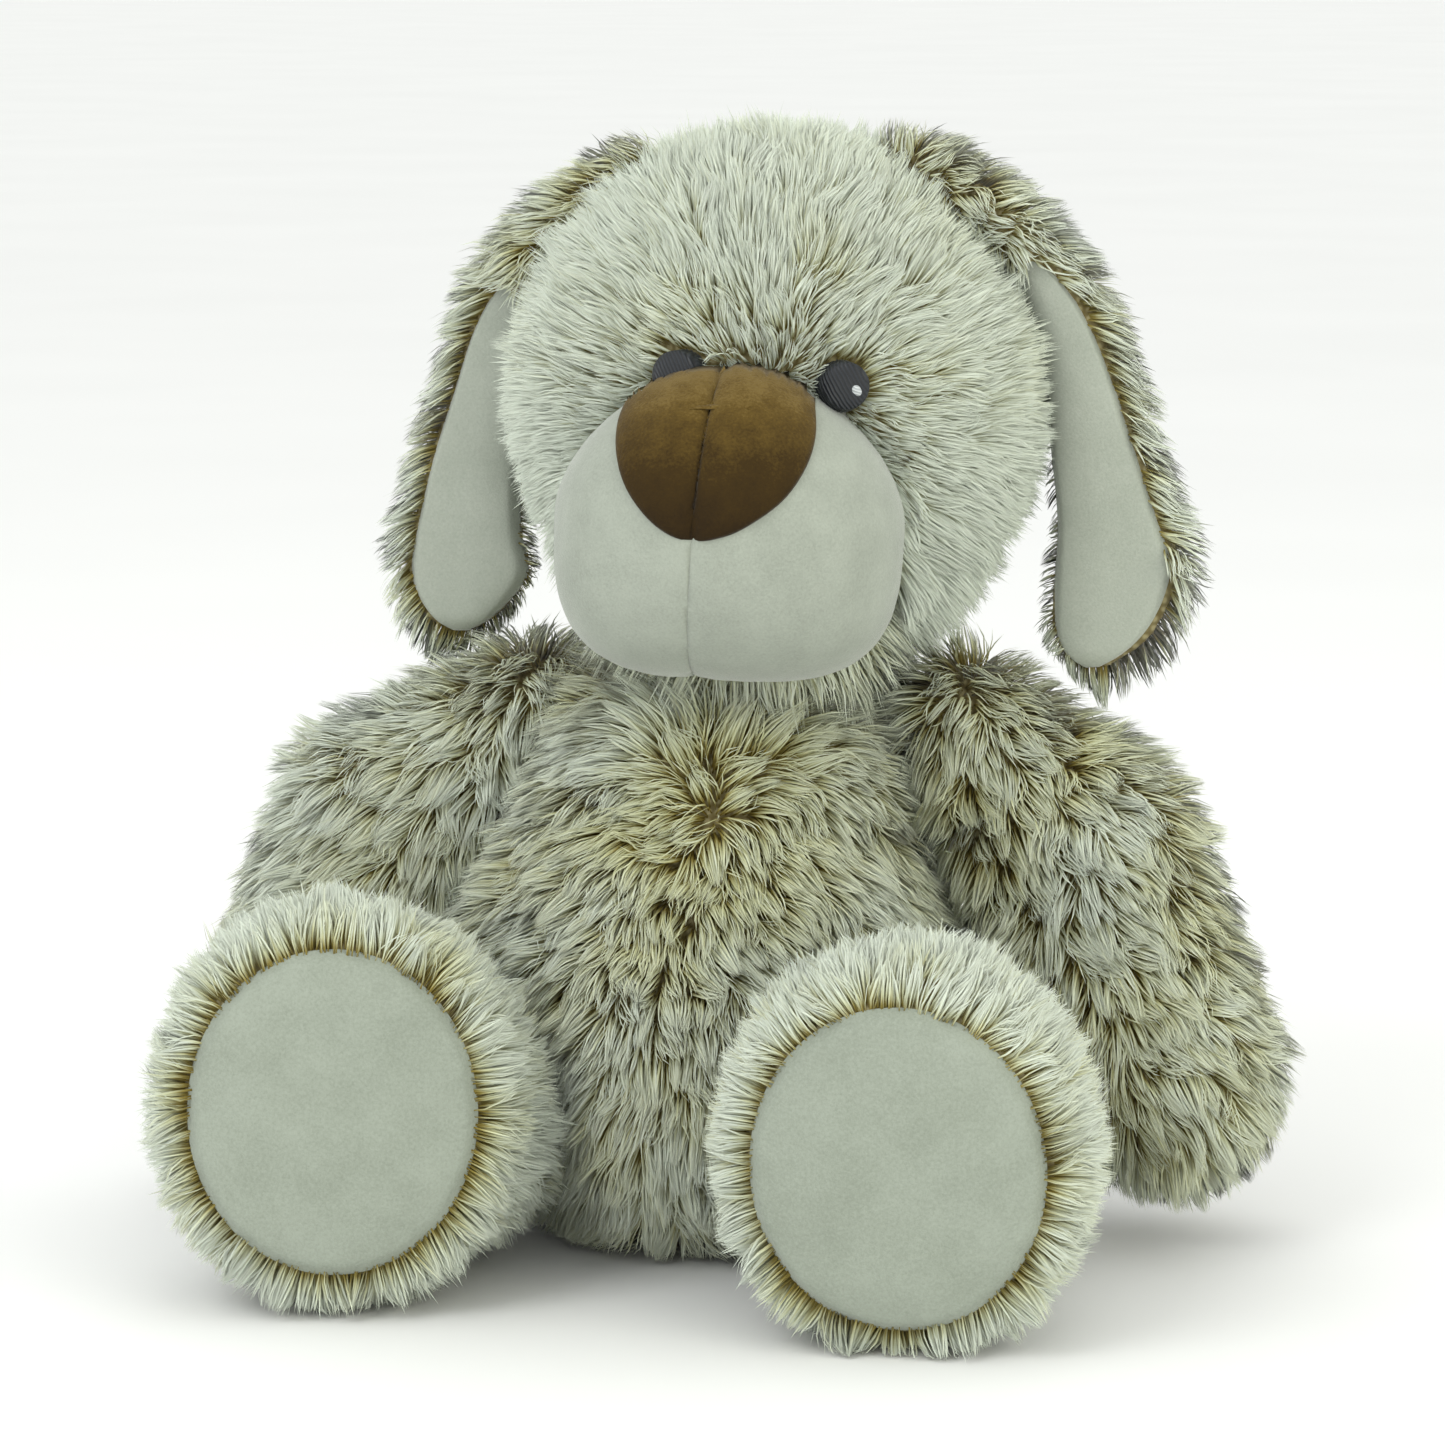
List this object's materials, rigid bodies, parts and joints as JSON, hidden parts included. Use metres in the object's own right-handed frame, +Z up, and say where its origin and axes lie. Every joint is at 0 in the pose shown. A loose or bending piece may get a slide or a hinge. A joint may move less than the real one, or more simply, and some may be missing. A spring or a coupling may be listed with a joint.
{
  "type": "seated plush dog",
  "caption": "Seated long-haired plush dog with a round head, wide short-pile muzzle, drop ears, soft arms, outstretched legs with flat soles, and a small tail.",
  "frame": {"origin": "on the floor under the middle of the dog's bounding box", "axes": "+Z up, the dog faces -Y, its own left side is +X; Y is the shortest extent"},
  "size_m": [0.29, 0.2411, 0.2821],
  "materials": {
    "long_fur": "long brushed pile, brown at the roots and pale at the tips",
    "muzzle_pile": "short dense sheared pile",
    "sole_pile": "short felted pile",
    "ear_lining": "short soft pile",
    "nose_pile": "short dark pile",
    "eye_thread": "satin-stitched embroidery",
    "highlight_thread": "satin-stitched embroidery",
    "filling": "loose crimped polyester fibre",
    "pouch_cloth": "plain woven cotton bag"
  },
  "bodies": {
    "torso": {"belly_left": "long_fur", "belly_right": "long_fur", "back_left": "long_fur", "back_right": "long_fur", "seat_base": "long_fur", "torso_filling": "filling", "granule_pouch": "pouch_cloth"},
    "neck": {"neck_cover": "long_fur", "neck_filling": "filling"},
    "head": {"head_fur_left": "long_fur", "head_fur_right": "long_fur", "head_filling": "filling", "muzzle_left": "muzzle_pile", "muzzle_right": "muzzle_pile", "nose_left": "nose_pile", "nose_right": "nose_pile", "eye_left": "eye_thread", "eye_right": "eye_thread", "eye_highlight_left": "highlight_thread", "eye_highlight_right": "highlight_thread"},
    "ear_left": {"ear_left_fur": "long_fur", "ear_left_lining": "ear_lining"},
    "ear_right": {"ear_right_fur": "long_fur", "ear_right_lining": "ear_lining"},
    "arm_left": {"arm_left_outer": "long_fur", "arm_left_inner": "long_fur", "arm_left_filling": "filling"},
    "arm_right": {"arm_right_outer": "long_fur", "arm_right_inner": "long_fur", "arm_right_filling": "filling"},
    "leg_left": {"leg_left_top": "long_fur", "leg_left_underside": "long_fur", "sole_left": "sole_pile", "leg_left_filling": "filling"},
    "leg_right": {"leg_right_top": "long_fur", "leg_right_underside": "long_fur", "sole_right": "sole_pile", "leg_right_filling": "filling"},
    "tail": {"tail_fur": "long_fur", "tail_filling": "filling"}
  },
  "joints": [
    {"name": "neck_turn", "type": "hinge", "parent": "torso", "child": "neck", "pos_m": [0.00804, 0.0087, 0.16551], "axis": [0.1219, 0, 0.9925], "range_deg": [-30, 30], "stiffness_Nm_per_rad": 1},
    {"name": "head_nod", "type": "hinge", "parent": "neck", "child": "head", "pos_m": [0.00804, 0.0087, 0.16551], "axis": [0.9948, 0.0872, -0.0521], "range_deg": [-10, 15], "stiffness_Nm_per_rad": 2},
    {"name": "ear_left_lift", "type": "hinge", "parent": "head", "child": "ear_left", "pos_m": [0.0724, 0.01958, 0.26617], "axis": [0.087, -0.9962, -0.0046], "range_deg": [0, 75], "stiffness_Nm_per_rad": 0.03},
    {"name": "ear_right_lift", "type": "hinge", "parent": "head", "child": "ear_right", "pos_m": [-0.04515, 0.00931, 0.26615], "axis": [-0.087, 0.9962, 0.0046], "range_deg": [0, 75], "stiffness_Nm_per_rad": 0.03},
    {"name": "arm_left_swing", "type": "hinge", "parent": "torso", "child": "arm_left", "pos_m": [0.061, 0.0137, 0.132], "axis": [-0.8402, -0.2425, 0.4851], "range_deg": [-30, 80], "stiffness_Nm_per_rad": 0.3},
    {"name": "arm_right_swing", "type": "hinge", "parent": "torso", "child": "arm_right", "pos_m": [-0.051, 0.0137, 0.132], "axis": [-0.8402, 0.2425, -0.4851], "range_deg": [-30, 80], "stiffness_Nm_per_rad": 0.3},
    {"name": "leg_left_lift", "type": "hinge", "parent": "torso", "child": "leg_left", "pos_m": [0.05, -0.0033, 0.034], "axis": [-1, 0, 0], "range_deg": [0, 15], "stiffness_Nm_per_rad": 0.6},
    {"name": "leg_right_lift", "type": "hinge", "parent": "torso", "child": "leg_right", "pos_m": [-0.05, -0.0033, 0.034], "axis": [-1, 0, 0], "range_deg": [0, 15], "stiffness_Nm_per_rad": 0.6},
    {"name": "tail_wag", "type": "hinge", "parent": "torso", "child": "tail", "pos_m": [-0.007, 0.0852, 0.042], "axis": [0, 0, 1], "range_deg": [-30, 30], "stiffness_Nm_per_rad": 0.05}
  ]
}
